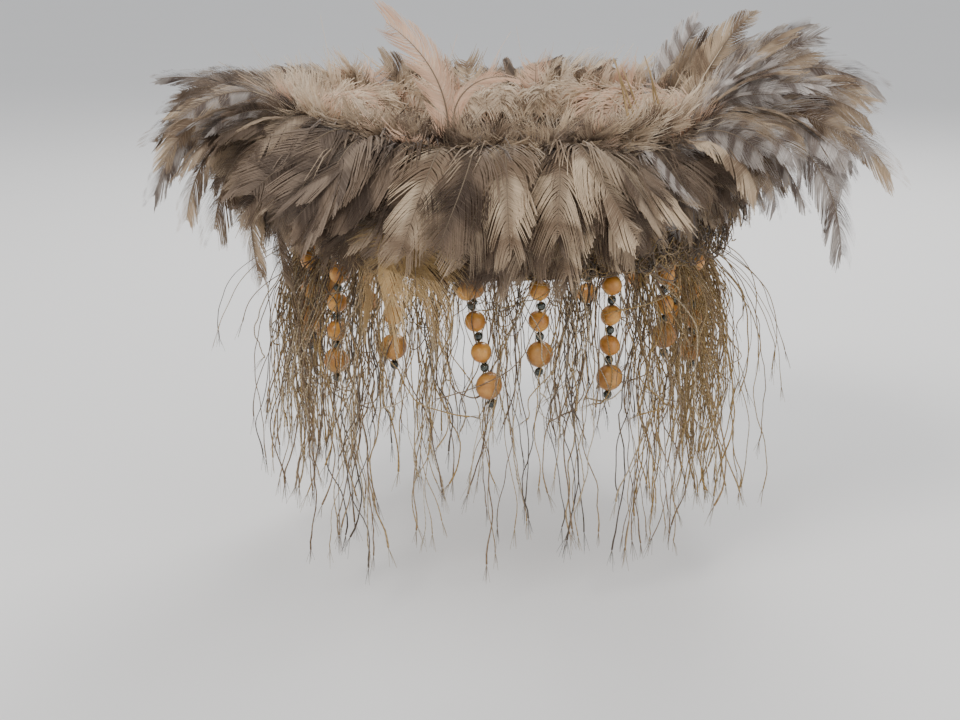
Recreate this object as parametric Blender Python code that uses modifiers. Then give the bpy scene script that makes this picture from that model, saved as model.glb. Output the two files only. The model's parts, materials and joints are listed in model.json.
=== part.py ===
"""Feather boa worn as a collar round the neck of a shade: a ribbon band with a stitched feather
heading, a tasselled thread fringe and hanging bead drops.

Frame: metres, +Z up. The origin is on the ring's axis, in the plane of the band's lower edge.
The front faces -Y. Places round the ring are azimuths, 0 at the front and positive towards +X.
"""

import math

import bpy
from mathutils import Matrix, Vector

# --- Driving dimensions -------------------------------------------------------------------------
BAND_INNER_RADIUS = 0.078  # a 156 mm shade neck
BAND_THICKNESS = 0.0012
BAND_HEIGHT = 0.046
GAP = 0.0003  # between pieces that touch

CORD_RADIUS = 0.0020  # the rolled core cord on the band's upper edge
BINDING_RADIUS = 0.0004  # the whipping thread wound round the core cord
BINDING_TURNS = 36
BINDING_STEPS = 5  # points in each turn

TAPE_THICKNESS = 0.0014  # the tape that the quills are sewn to
TAPE_HEIGHT = 0.012
TAPE_DROP = 0.004  # from the band's upper edge down to the tape's upper edge
LAP_THICKNESS = 0.0010  # the tape's own end, lapped over its start at the back
LAP_ARC = math.radians(26)
LAP_OVERHANG = 0.001

BRAID_THICKNESS = 0.0030  # the fringe's woven heading
BRAID_HEIGHT = 0.014
BRAID_LIFT = 0.003  # from the band's lower edge up to the braid's

DROP_COUNT = 18
DROP_SPACING = 2 * math.pi / DROP_COUNT
BEAD_RADIUS = 0.0040
END_BEAD_RADIUS = 0.0051
SPACER_RADIUS = 0.0017
SPACER_LENGTH = 0.0032
THREAD_RADIUS = 0.0005
THREAD_LEAD = 0.0015  # bare thread from the braid to the first bead
BEADS_LONG = 3  # round beads above the end bead, on every other drop
BEADS_SHORT = 2

BUNCH_LENGTH_LONG = 0.121
BUNCH_LENGTH_SHORT = 0.108
BUNCH_TOP_RADIUS = 0.0024
BUNCH_FOOT_RADIUS = 0.0070
BUNCH_FLATNESS = 0.55  # its depth as a share of its width

SWAG_COUNT = 12  # feather clumps that hang over the band
SWAG_SIDE_GAP = math.radians(0.8)
CLUMP_COLUMNS = 2  # faces across a clump before it is softened
PLUME_HALF_ARC = math.radians(16)
CREST_HALF_ARC = math.radians(20)
UPRIGHT_AZIMUTH = math.radians(-11)
UPRIGHT_HALF_ARC = math.radians(7)
ROOT_THICKNESS = 0.0036  # the quills of a clump side by side
ROOT_CLEARANCE = 0.0012  # from the lap out to them, for the flats of their faceted arcs

RING_STEPS = 48
CORD_STEPS = 6
DROP_STEPS = 6
BEAD_STEPS = 4  # along each bead's side
SPACER_STEPS = 2

# --- Places worked out from them ----------------------------------------------------------------
BAND_OUTER_RADIUS = BAND_INNER_RADIUS + BAND_THICKNESS
CORD_RING_RADIUS = (BAND_INNER_RADIUS + BAND_OUTER_RADIUS) / 2
# The coil is a polygon, whose chords have to clear the round cord inside it.
BINDING_COIL_RADIUS = (CORD_RADIUS + GAP + BINDING_RADIUS) / math.cos(math.pi / BINDING_STEPS)
CORD_Z = BAND_HEIGHT + GAP + BINDING_COIL_RADIUS + BINDING_RADIUS
TAPE_INNER_RADIUS = BAND_OUTER_RADIUS + GAP
TAPE_OUTER_RADIUS = TAPE_INNER_RADIUS + TAPE_THICKNESS
TAPE_TOP = BAND_HEIGHT - TAPE_DROP
LAP_INNER_RADIUS = TAPE_OUTER_RADIUS + GAP
LAP_OUTER_RADIUS = LAP_INNER_RADIUS + LAP_THICKNESS
BRAID_INNER_RADIUS = BAND_OUTER_RADIUS + GAP
BRAID_OUTER_RADIUS = BRAID_INNER_RADIUS + BRAID_THICKNESS
HANG_RADIUS = BRAID_OUTER_RADIUS + BEAD_RADIUS / 4  # threads leave the braid's outer lower corner
HANG_Z = BRAID_LIFT - GAP

# --- Collections --------------------------------------------------------------------------------
for old in list(bpy.data.objects):
    bpy.data.objects.remove(old, do_unlink=True)

collection = bpy.data.collections.new("feather_boa")
bpy.context.scene.collection.children.link(collection)


def material(name, colour, roughness, metallic=0.0):
    made = bpy.data.materials.new(name)
    made.use_nodes = True
    shader = made.node_tree.nodes["Principled BSDF"]
    shader.inputs["Base Color"].default_value = (*colour, 1)
    shader.inputs["Roughness"].default_value = roughness
    shader.inputs["Metallic"].default_value = metallic
    return made


RIBBON = material("ribbon", (0.16, 0.12, 0.09), 0.85)
CORD = material("cotton_cord", (0.30, 0.24, 0.18), 0.9)
WHIPPING = material("whipping_thread", (0.72, 0.62, 0.48), 0.7)
BRAID = material("fringe_yarn", (0.42, 0.30, 0.16), 0.85)
FEATHER = material("feather", (0.36, 0.30, 0.26), 0.75)
PLUME = material("plume_feather", (0.50, 0.45, 0.42), 0.7)
BEAD = material("amber_bead", (0.62, 0.34, 0.08), 0.35)


def finish(obj, name, coat, smooth=True):
    """Names the object, gives it its material and puts it in the boa's collection alone."""
    obj.name = name
    obj.data.name = name
    for other in list(obj.users_collection):
        other.objects.unlink(obj)
    collection.objects.link(obj)
    obj.data.materials.clear()
    obj.data.materials.append(coat)
    if smooth and obj.type == "MESH":
        obj.data.shade_smooth()
    return obj


def mesh_object(name, points, edges, faces, coat):
    mesh = bpy.data.meshes.new(name)
    mesh.from_pydata(points, edges, faces)
    mesh.validate()
    return finish(bpy.data.objects.new(name, mesh), name, coat)


def on_ring(azimuth, radius, z):
    return Vector((radius * math.sin(azimuth), -radius * math.cos(azimuth), z))


def place_on_ring(obj, azimuth, radius, z):
    """Stands a piece that was made at the origin on the ring, its -Y side facing outwards."""
    obj.matrix_world = Matrix.Translation(on_ring(azimuth, radius, z)) @ Matrix.Rotation(azimuth, 4, "Z")
    return obj


# --- Turned pieces ------------------------------------------------------------------------------
def turned(name, profile, steps, coat, closed):
    """Turns a profile of (radius, z) points about +Z. It runs down the outer side."""
    points = [(radius, 0, z) for radius, z in profile]
    edges = [(i, i + 1) for i in range(len(points) - 1)]
    if closed:
        edges.append((len(points) - 1, 0))
    obj = mesh_object(name, points, edges, [], coat)
    screw = obj.modifiers.new("turn", "SCREW")
    screw.axis = "Z"
    screw.steps = screw.render_steps = steps
    screw.use_merge_vertices = True
    screw.merge_threshold = 0.00001
    screw.use_smooth_shade = True
    return obj


def sleeve(name, inner, outer, low, high, coat):
    """A plain ring of rectangular section."""
    profile = [(outer, high), (outer, low), (inner, low), (inner, high)]
    return turned(name, profile, RING_STEPS, coat, closed=True)


def make_band():
    sleeve("backing_band", BAND_INNER_RADIUS, BAND_OUTER_RADIUS, 0, BAND_HEIGHT, RIBBON)
    sleeve("quill_tape", TAPE_INNER_RADIUS, TAPE_OUTER_RADIUS, TAPE_TOP - TAPE_HEIGHT, TAPE_TOP, RIBBON)
    braid_top = BRAID_LIFT + BRAID_HEIGHT
    sleeve("fringe_braid", BRAID_INNER_RADIUS, BRAID_OUTER_RADIUS, BRAID_LIFT, braid_top, BRAID)


def make_core_cord():
    bpy.ops.mesh.primitive_torus_add(
        major_segments=RING_STEPS,
        minor_segments=CORD_STEPS,
        major_radius=CORD_RING_RADIUS,
        minor_radius=CORD_RADIUS,
        location=(0, 0, CORD_Z),
    )
    finish(bpy.context.object, "core_cord", CORD)


def make_binding_thread():
    """One closed coil wound round the core cord, all the way round the ring."""
    count = BINDING_TURNS * BINDING_STEPS
    curve = bpy.data.curves.new("binding_thread", "CURVE")
    curve.dimensions = "3D"
    curve.bevel_depth = BINDING_RADIUS
    curve.bevel_resolution = 0
    spline = curve.splines.new("POLY")
    spline.points.add(count - 1)
    for i, point in enumerate(spline.points):
        turn = 2 * math.pi * i / BINDING_STEPS
        radius = CORD_RING_RADIUS + BINDING_COIL_RADIUS * math.cos(turn)
        z = CORD_Z + BINDING_COIL_RADIUS * math.sin(turn)
        point.co = (*on_ring(2 * math.pi * i / count, radius, z), 1)
    spline.use_cyclic_u = True
    finish(bpy.data.objects.new("binding_thread", curve), "binding_thread", WHIPPING)


def make_lap():
    """The tape's lapped end: an arc outline, extruded."""
    steps = 8
    angles = [math.pi + LAP_ARC * (i / steps - 0.5) for i in range(steps + 1)]
    outline = [on_ring(a, LAP_OUTER_RADIUS, 0) for a in angles]
    outline += [on_ring(a, LAP_INNER_RADIUS, 0) for a in reversed(angles)]
    curve = bpy.data.curves.new("tape_lap", "CURVE")
    curve.dimensions = "2D"
    curve.fill_mode = "BOTH"
    curve.extrude = TAPE_HEIGHT / 2 + LAP_OVERHANG
    spline = curve.splines.new("POLY")
    spline.points.add(len(outline) - 1)
    for point, place in zip(spline.points, outline):
        point.co = (*place, 1)
    spline.use_cyclic_u = True
    obj = finish(bpy.data.objects.new("tape_lap", curve), "tape_lap", RIBBON)
    obj.location.z = TAPE_TOP - TAPE_HEIGHT / 2


# --- Bead drops ---------------------------------------------------------------------------------
def bead_arc(radius, half_length, centre, count):
    """The outer side of a bead on the thread, top to bottom: an arc cut off where the thread enters."""
    start = math.asin(THREAD_RADIUS / radius)
    angles = [start + (math.pi - 2 * start) * i / count for i in range(count + 1)]
    return [(radius * math.sin(a), centre + half_length * math.cos(a)) for a in angles]


def drop_profile(beads):
    """The whole drop as one turned outline, from the thread's head at z = 0 down to the end spacer."""
    profile = [(0, 0), (THREAD_RADIUS, 0)]
    z = -THREAD_LEAD
    for _ in range(beads):
        profile += bead_arc(BEAD_RADIUS, BEAD_RADIUS, z - BEAD_RADIUS, BEAD_STEPS)
        z -= 2 * BEAD_RADIUS + GAP
        profile += bead_arc(SPACER_RADIUS, SPACER_LENGTH / 2, z - SPACER_LENGTH / 2, SPACER_STEPS)
        z -= SPACER_LENGTH + GAP
    profile += bead_arc(END_BEAD_RADIUS, END_BEAD_RADIUS, z - END_BEAD_RADIUS, BEAD_STEPS)
    z -= 2 * END_BEAD_RADIUS + GAP
    profile += bead_arc(SPACER_RADIUS, SPACER_LENGTH / 2, z - SPACER_LENGTH / 2, SPACER_STEPS)[:-1]
    profile.append((0, z - SPACER_LENGTH))
    return profile


def make_drops():
    """Every other drop is a bead longer. Each one's origin is on its swing axis."""
    for i in range(DROP_COUNT):
        azimuth = DROP_SPACING * (i + 0.5)
        beads = BEADS_SHORT if i % 2 == 0 else BEADS_LONG
        name = f"bead_drop_{i + 1:02d}"
        drop = turned(name, drop_profile(beads), DROP_STEPS, BEAD, closed=False)
        place_on_ring(drop, azimuth, HANG_RADIUS, HANG_Z)


# --- Thread fringe ------------------------------------------------------------------------------
def make_fringe():
    """One hanging bunch of threads midway between each two drops, its origin on its swing axis."""
    for i in range(DROP_COUNT):
        length = BUNCH_LENGTH_LONG if i % 2 == 0 else BUNCH_LENGTH_SHORT
        bpy.ops.mesh.primitive_cone_add(
            vertices=8, radius1=BUNCH_FOOT_RADIUS, radius2=BUNCH_TOP_RADIUS, depth=length
        )
        bunch = finish(bpy.context.object, f"fringe_bunch_{i + 1:02d}", BRAID)
        bunch.data.transform(Matrix.Translation((0, 0, -length / 2)))
        bunch.data.transform(Matrix.Diagonal((1, BUNCH_FLATNESS, 1, 1)))
        place_on_ring(bunch, DROP_SPACING * i, HANG_RADIUS, HANG_Z)


# --- Feathers -----------------------------------------------------------------------------------
def feather_clump(name, azimuth, half_arc, path, coat):
    """A soft closed clump: a strip along the path, thickened round it.

    path lists (radius, z, thickness) from the quills to the tips.
    """
    rows = len(path) - 1
    bpy.ops.mesh.primitive_grid_add(size=2, x_subdivisions=CLUMP_COLUMNS, y_subdivisions=rows)
    clump = finish(bpy.context.object, name, coat)
    fullness = clump.vertex_groups.new(name="fullness")
    thickest = max(thickness for _, _, thickness in path)
    for vertex in clump.data.vertices:
        radius, z, thickness = path[round((vertex.co.y + 1) / 2 * rows)]
        fullness.add([vertex.index], thickness / thickest, "REPLACE")
        vertex.co = on_ring(azimuth + vertex.co.x * half_arc, radius, z)
    thicken = clump.modifiers.new("thicken", "SOLIDIFY")
    thicken.thickness = thickest
    thicken.offset = 0
    thicken.vertex_group = fullness.name
    soften = clump.modifiers.new("soften", "SUBSURF")
    soften.levels = soften.render_levels = 1


def make_swags():
    """The feathers that roll over the quill tape and hang outside it, in even sectors."""
    root = LAP_OUTER_RADIUS + ROOT_CLEARANCE + ROOT_THICKNESS / 2
    path = [
        (root, TAPE_TOP - 0.006, ROOT_THICKNESS),
        (root + 0.007, TAPE_TOP + 0.010, 0.008),
        (root + 0.024, TAPE_TOP + 0.006, 0.012),
        (root + 0.029, TAPE_TOP - 0.016, 0.010),
        (root + 0.022, TAPE_TOP - 0.038, 0.006),
    ]
    half_arc = math.pi / SWAG_COUNT - SWAG_SIDE_GAP
    for i in range(SWAG_COUNT):
        feather_clump(f"feather_swag_{i + 1:02d}", 2 * math.pi * i / SWAG_COUNT, half_arc, path, FEATHER)


def make_plumes():
    """The longer feathers that stand above the swags, each clump on its own path."""
    root = LAP_OUTER_RADIUS + 0.010
    low = TAPE_TOP + 0.021
    left = [
        (root, low, 0.006),
        (root + 0.024, low + 0.007, 0.010),
        (root + 0.046, low - 0.004, 0.010),
        (root + 0.056, low - 0.028, 0.006),
    ]
    right = [
        (root, low + 0.001, 0.006),
        (root + 0.020, low + 0.026, 0.012),
        (root + 0.052, low + 0.014, 0.014),
        (root + 0.073, low - 0.024, 0.006),
    ]
    for name, azimuth, path in (
        ("plume_left_front", -74, left),
        ("plume_left_back", -110, left),
        ("plume_right_front", 72, right),
        ("plume_right_back", 108, right),
    ):
        feather_clump(name, math.radians(azimuth), PLUME_HALF_ARC, path, PLUME)
    crest = [
        (root, low, 0.006),
        (root + 0.006, low + 0.004, 0.008),
        (root + 0.018, low + 0.003, 0.006),
    ]
    feather_clump("plume_back", math.pi, CREST_HALF_ARC, crest, PLUME)
    foot = CORD_Z + BINDING_COIL_RADIUS + BINDING_RADIUS + ROOT_CLEARANCE
    upright = [
        (CORD_RING_RADIUS, foot, 0.003),
        (CORD_RING_RADIUS + 0.002, foot + 0.023, 0.006),
        (CORD_RING_RADIUS - 0.002, foot + 0.046, 0.004),
    ]
    feather_clump("plume_upright", UPRIGHT_AZIMUTH, UPRIGHT_HALF_ARC, upright, PLUME)


make_band()
make_core_cord()
make_binding_thread()
make_lap()
make_drops()
make_fringe()
make_swags()
make_plumes()
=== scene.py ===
# %% [markdown]
# # A feather boa closed into a collar
#
# The boa is a ribbon band with three things sewn to it: a thick roll of barred hackle feathers over its
# top edge, a tangled thread fringe along its lower edge, and strings of amber beads that hang between
# the threads. The imported frame already holds every size and every swing axis. This script only gives
# the pieces their looks, so it starts by loading that frame and keeping its box to print at the end.

# %% Load the frame
import json
import math

import bpy
import numpy as np
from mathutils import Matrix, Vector


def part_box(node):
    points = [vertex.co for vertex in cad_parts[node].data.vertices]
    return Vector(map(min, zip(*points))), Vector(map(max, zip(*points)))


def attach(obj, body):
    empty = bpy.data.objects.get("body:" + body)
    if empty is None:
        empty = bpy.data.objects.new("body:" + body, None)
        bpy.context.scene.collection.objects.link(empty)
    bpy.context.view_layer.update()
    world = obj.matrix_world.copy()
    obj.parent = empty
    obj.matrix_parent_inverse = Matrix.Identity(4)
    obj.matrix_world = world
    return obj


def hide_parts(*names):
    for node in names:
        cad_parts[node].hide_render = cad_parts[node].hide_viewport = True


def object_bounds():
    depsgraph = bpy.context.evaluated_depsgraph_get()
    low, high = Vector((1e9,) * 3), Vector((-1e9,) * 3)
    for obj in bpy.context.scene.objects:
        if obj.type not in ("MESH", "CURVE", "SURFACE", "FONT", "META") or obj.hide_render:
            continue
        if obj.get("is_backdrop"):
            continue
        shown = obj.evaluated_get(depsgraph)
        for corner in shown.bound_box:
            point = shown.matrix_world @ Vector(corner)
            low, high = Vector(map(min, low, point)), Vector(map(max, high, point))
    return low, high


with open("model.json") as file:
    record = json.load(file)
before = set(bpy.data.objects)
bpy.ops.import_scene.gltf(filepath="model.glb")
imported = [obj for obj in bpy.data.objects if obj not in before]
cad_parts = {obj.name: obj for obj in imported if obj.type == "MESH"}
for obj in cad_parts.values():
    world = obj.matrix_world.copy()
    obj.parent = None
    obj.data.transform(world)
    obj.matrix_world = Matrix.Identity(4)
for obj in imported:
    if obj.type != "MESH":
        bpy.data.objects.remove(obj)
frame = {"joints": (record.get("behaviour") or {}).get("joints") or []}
cad_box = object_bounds()
joints = {joint["child"]: joint for joint in frame["joints"]}

# %% [markdown]
# ## Camera
#
# The boa is seen from its front, a little from above, so that the far wall of feathers shows through
# the open ring. A lens of moderate length at about two thirds of a metre keeps the near beads only
# slightly larger than the far ones. The camera looks below the ring's centre, because the fringe hangs
# low, and a little to one side of it.

# %% Place the camera
CAMERA_DISTANCE = 0.640
CAMERA_ELEVATION = math.radians(11)
LENS_MM = 56
SENSOR_MM = 36
AIM_LEFT = 0.0094
AIM_BELOW = 0.051


def make_camera():
    data = bpy.data.cameras.new("camera")
    data.lens = LENS_MM
    data.sensor_width = SENSOR_MM
    camera = bpy.data.objects.new("camera", data)
    bpy.context.scene.collection.objects.link(camera)
    back = Vector((0, -math.cos(CAMERA_ELEVATION), math.sin(CAMERA_ELEVATION)))
    up = Vector((0, math.sin(CAMERA_ELEVATION), math.cos(CAMERA_ELEVATION)))
    camera.location = back * CAMERA_DISTANCE
    aim = Vector((-AIM_LEFT, 0, 0)) - up * AIM_BELOW
    camera.rotation_euler = (aim - camera.location).to_track_quat("-Z", "Y").to_euler()
    bpy.context.scene.camera = camera
    return camera


camera = make_camera()
print("camera at", [round(value, 3) for value in camera.location])

# %% [markdown]
# ## Shader sums
#
# A material is easier to read as arithmetic than as a list of nodes and links. `Value` wraps one
# socket, and each operator on it adds the Math node that does the sum. `Paint` is a material being
# made: its `node` method adds any other node, sets its settings first and then fills its sockets. What
# changes over a surface is fed to the main shader's sockets, and what is the same all over is set once.

# %% Value and Paint
MAP = "OFBake"  # the name of every piece's texture map


class Value:
    """One output socket of a material's nodes, usable in sums."""

    def __init__(self, paint, socket):
        self.paint = paint
        self.socket = socket

    def math(self, operation, *values):
        return self.paint.node("ShaderNodeMath", {"operation": operation}, dict(enumerate(values)))

    def __add__(self, other):
        return self.math("ADD", self, other)

    __radd__ = __add__

    def __sub__(self, other):
        return self.math("SUBTRACT", self, other)

    def __rsub__(self, other):
        return self.math("SUBTRACT", other, self)

    def __mul__(self, other):
        return self.math("MULTIPLY", self, other)

    __rmul__ = __mul__

    def __pow__(self, power):
        return self.math("POWER", self, power)

    def __abs__(self):
        return self.math("ABSOLUTE", self)

    def floor(self):
        return self.math("FLOOR", self)

    def wave(self):
        """The sine of this many turns."""
        return self.math("SINE", self * math.tau)

    def ease(self, low, high):
        """0 below low, 1 above high and smooth between them."""
        sockets = {0: self, 1: low, 2: high}
        return self.paint.node("ShaderNodeMapRange", {"interpolation_type": "SMOOTHSTEP"}, sockets)


class Paint:
    """A material being made: its nodes and its main shader."""

    def __init__(self, name, roughness=0.7, **uniform):
        self.material = bpy.data.materials.new(name)
        self.material.use_nodes = True
        self.tree = self.material.node_tree
        self.shader = self.tree.nodes["Principled BSDF"]
        self.shader.inputs["Roughness"].default_value = roughness
        for socket, value in uniform.items():
            self.shader.inputs[socket.replace("_", " ")].default_value = value

    def feed(self, socket, value):
        if isinstance(value, Value):
            self.tree.links.new(value.socket, socket)
        elif isinstance(value, tuple) and len(value) == 3 and len(socket.default_value) == 4:
            socket.default_value = (*value, 1)
        else:
            socket.default_value = value

    def node(self, kind, settings=None, sockets=None, output=0):
        made = self.tree.nodes.new(kind)
        for name, value in (settings or {}).items():
            setattr(made, name, value)
        for name, value in (sockets or {}).items():
            self.feed(made.inputs[name], value)
        return Value(self, made.outputs[output])

    def mix(self, share, first, second):
        """first, turning into second as share goes from 0 to 1."""
        return self.node("ShaderNodeMix", {"data_type": "RGBA"}, {0: share, 6: first, 7: second}, output=2)

    def vector(self, x, y, z=0.0):
        return self.node("ShaderNodeCombineXYZ", None, {0: x, 1: y, 2: z})

    def noise(self, vector, scale, detail=2.0):
        return self.node("ShaderNodeTexNoise", None, {"Vector": vector, "Scale": scale, "Detail": detail})

    def pick(self, share, colours):
        """Steps through the colours as share goes from 0 to 1."""
        made = self.tree.nodes.new("ShaderNodeValToRGB")
        made.color_ramp.interpolation = "CONSTANT"
        stops = made.color_ramp.elements
        while len(stops) < len(colours):
            stops.new(1.0)
        for index, colour in enumerate(colours):
            stops[index].position = index / len(colours)
            stops[index].color = (*colour, 1)
        self.feed(made.inputs[0], share)
        return Value(self, made.outputs[0])

    def place(self):
        """The two texture coordinates of the piece's own map."""
        made = self.node("ShaderNodeUVMap", {"uv_map": MAP})
        split = self.tree.nodes.new("ShaderNodeSeparateXYZ")
        self.feed(split.inputs[0], made)
        return Value(self, split.outputs[0]), Value(self, split.outputs[1])

    def paint(self, **sockets):
        for name, value in sockets.items():
            self.feed(self.shader.inputs[name.replace("_", " ")], value)

    def bump(self, height, distance, strength=1.0):
        sockets = {"Height": height, "Distance": distance, "Strength": strength}
        self.feed(self.shader.inputs["Normal"], self.node("ShaderNodeBump", None, sockets))

    def let_light_through(self, share, colour):
        """Mixes in a Translucent shader, for what is thin enough to glow from behind."""
        glow = self.node("ShaderNodeBsdfTranslucent", None, {"Color": colour})
        body = Value(self, self.shader.outputs[0])
        both = self.node("ShaderNodeMixShader", None, {0: share, 1: body, 2: glow})
        out = next(node for node in self.tree.nodes if node.type == "OUTPUT_MATERIAL")
        self.tree.links.new(both.socket, out.inputs["Surface"])


# %% [markdown]
# ## Building many thin pieces at once
#
# A feather is hundreds of barbs and a fringe is hundreds of threads, far too many to model one by one.
# `Pile` gathers arrays of points and faces and turns them into one mesh at the end. Each barb is a
# narrow ribbon and each thread a thin tube, and both are grids of points, so one function makes the
# faces of them all. Every point also gets a place in a texture map: along the piece in one direction
# and across it in the other, inside a row that picks its colouring.

# %% Pile, ribbons and tubes
def unit(vectors):
    return vectors / np.maximum(np.linalg.norm(vectors, axis=-1, keepdims=True), 1e-12)


def grid_faces(strips, steps, across, round_across=False, round_along=False):
    """The faces of strips grids, each of steps by across points."""
    lines = steps if round_along else steps - 1
    columns = across if round_across else across - 1
    i, j, k = np.meshgrid(np.arange(strips), np.arange(lines), np.arange(columns), indexing="ij")
    here, ahead = i * steps + j, i * steps + (j + 1) % steps
    right = (k + 1) % across
    corners = [here * across + k, here * across + right, ahead * across + right, ahead * across + k]
    return np.stack(corners, -1).reshape(-1, 4)


class Pile:
    """Points, faces and texture places, gathered until they become one mesh."""

    def __init__(self):
        self.points = []
        self.faces = []
        self.places = []
        self.count = 0

    def add(self, points, faces, places):
        self.points.append(points.reshape(-1, 3))
        self.faces.append(faces + self.count)
        self.places.append(places.reshape(-1, 2))
        self.count += len(self.points[-1])

    def build(self, name, paint, smooth=True):
        points, faces = np.concatenate(self.points), np.concatenate(self.faces)
        places = np.concatenate(self.places)
        mesh = bpy.data.meshes.new(name)
        mesh.vertices.add(len(points))
        mesh.vertices.foreach_set("co", points.astype(np.float32).ravel())
        mesh.loops.add(faces.size)
        mesh.loops.foreach_set("vertex_index", faces.ravel().astype(np.int32))
        mesh.polygons.add(len(faces))
        mesh.polygons.foreach_set("loop_start", np.arange(0, faces.size, 4, dtype=np.int32))
        layer = mesh.uv_layers.new(name=MAP)
        layer.data.foreach_set("uv", places[faces.ravel()].astype(np.float32).ravel())
        mesh.update(calc_edges=True)
        mesh.materials.append(paint.material)
        if smooth:
            mesh.shade_smooth()
        obj = bpy.data.objects.new(name, mesh)
        bpy.context.scene.collection.objects.link(obj)
        return obj


def carried_frames(paths):
    """Along and across directions at each point of the paths, carried along without spinning."""
    along = unit(np.gradient(paths, axis=1))
    across = np.empty_like(along)
    across[:, 0] = unit(np.cross(along[:, 0], (0.31, 0.52, 0.79)))
    for step in range(1, paths.shape[1]):
        carried = across[:, step - 1]
        lean = np.sum(carried * along[:, step], axis=1, keepdims=True)
        across[:, step] = unit(carried - along[:, step] * lean)
    return along, across


def row_place(row, share, rows):
    """The second texture coordinate of what is share of the way across its row."""
    return (row + 0.08 + 0.84 * share) / rows


def add_tubes(pile, paths, radii, sides, rows_of, rows, closed=False):
    """Tubes along the paths (n, steps, 3), each in its own colour row. closed joins the two ends."""
    count, steps = paths.shape[:2]
    along, across = carried_frames(paths)
    if closed:
        along = unit(np.roll(paths, -1, axis=1) - np.roll(paths, 1, axis=1))
        across = unit(np.cross(along, np.cross(along, (0.0, 0.0, 1.0))))
    other = np.cross(along, across)
    turn = np.arange(sides) / sides * math.tau
    ring = across[:, :, None] * np.cos(turn)[:, None] + other[:, :, None] * np.sin(turn)[:, None]
    points = paths[:, :, None] + ring * np.broadcast_to(radii, (count, steps))[:, :, None, None]
    share = 1 - np.abs(np.linspace(-1, 1, sides))
    u = np.broadcast_to(np.linspace(0.01, 0.99, steps)[None, :, None], (count, steps, sides))
    v = np.broadcast_to(row_place(np.asarray(rows_of)[:, None, None], share, rows), (count, steps, sides))
    faces = grid_faces(count, steps, sides, round_across=True, round_along=closed)
    pile.add(points, faces, np.stack([u, v], -1))


def on_ring(azimuth, radius, z):
    """A place on the ring. Azimuth 0 is the front, and it grows towards +X."""
    azimuth, radius, z = np.broadcast_arrays(azimuth, radius, z)
    return np.stack([radius * np.sin(azimuth), -radius * np.cos(azimuth), z], -1)


def ease(value, low, high):
    share = np.clip((value - low) / (high - low), 0, 1)
    return share * share * (3 - 2 * share)


# %% [markdown]
# ## The hackle finish
#
# These are natural cock hackles: soft bands of dark brown cross a taupe or cream web, the bands lean
# along the barbs, and tips and margins are pale. Painting each feather from its own place in the map
# keeps the bands with the feather however it curls. One material serves every feather, and the row
# that a feather sits in picks its pale colour, its dark colour and how strong its bars are. Thin webs
# let light through, so a Translucent shader is mixed in.

# %% Feather material
COLOURINGS = 10
SHAFT, DARK, TAUPE, TAN, COOL, SILVER, CREAM, GOLD, LAMPLIT_PEACH, SMOKE = range(COLOURINGS)
VARIANTS = 2  # each colouring is laid out twice, with its bars in other places
FEATHER_ROWS = COLOURINGS * VARIANTS
PALE_COLOURS = [
    (0.30, 0.23, 0.16),
    (0.23, 0.165, 0.115),
    (0.47, 0.365, 0.26),
    (0.70, 0.56, 0.40),
    (0.52, 0.475, 0.44),
    (0.74, 0.705, 0.68),
    (0.82, 0.70, 0.55),
    (0.66, 0.49, 0.27),
    # the peach colouring is painted lamp glow: the warm light from inside the ring on the down and feathers
    # there
    (0.85, 0.63, 0.47),
    (0.31, 0.235, 0.175),
]
DARK_COLOURS = [
    (0.12, 0.085, 0.055),
    (0.055, 0.036, 0.025),
    (0.110, 0.072, 0.048),
    (0.19, 0.125, 0.08),
    (0.135, 0.10, 0.082),
    (0.27, 0.215, 0.185),
    (0.46, 0.34, 0.24),
    (0.27, 0.17, 0.06),
    (0.50, 0.32, 0.22),
    (0.085, 0.060, 0.045),
]
BAR_STRENGTHS = [0.2, 0.9, 0.95, 0.85, 0.9, 0.8, 0.5, 0.6, 0.4, 0.8]
MOST_BARS = 10
BAR_COUNTS = [0.1, 0.21, 0.17, 0.22, 0.55, 0.65, 0.2, 0.2, 0.2, 0.25]  # as shares of MOST_BARS
BARB_SLANT = 0.13
STREAKS = 190
WEB_GLOW = 0.36  # the share of the web's light that comes through from behind


def grey(values):
    """The values as grey colours, one for each row of the feathers' map."""
    return [(value, value, value) for value in values] * VARIANTS


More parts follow.
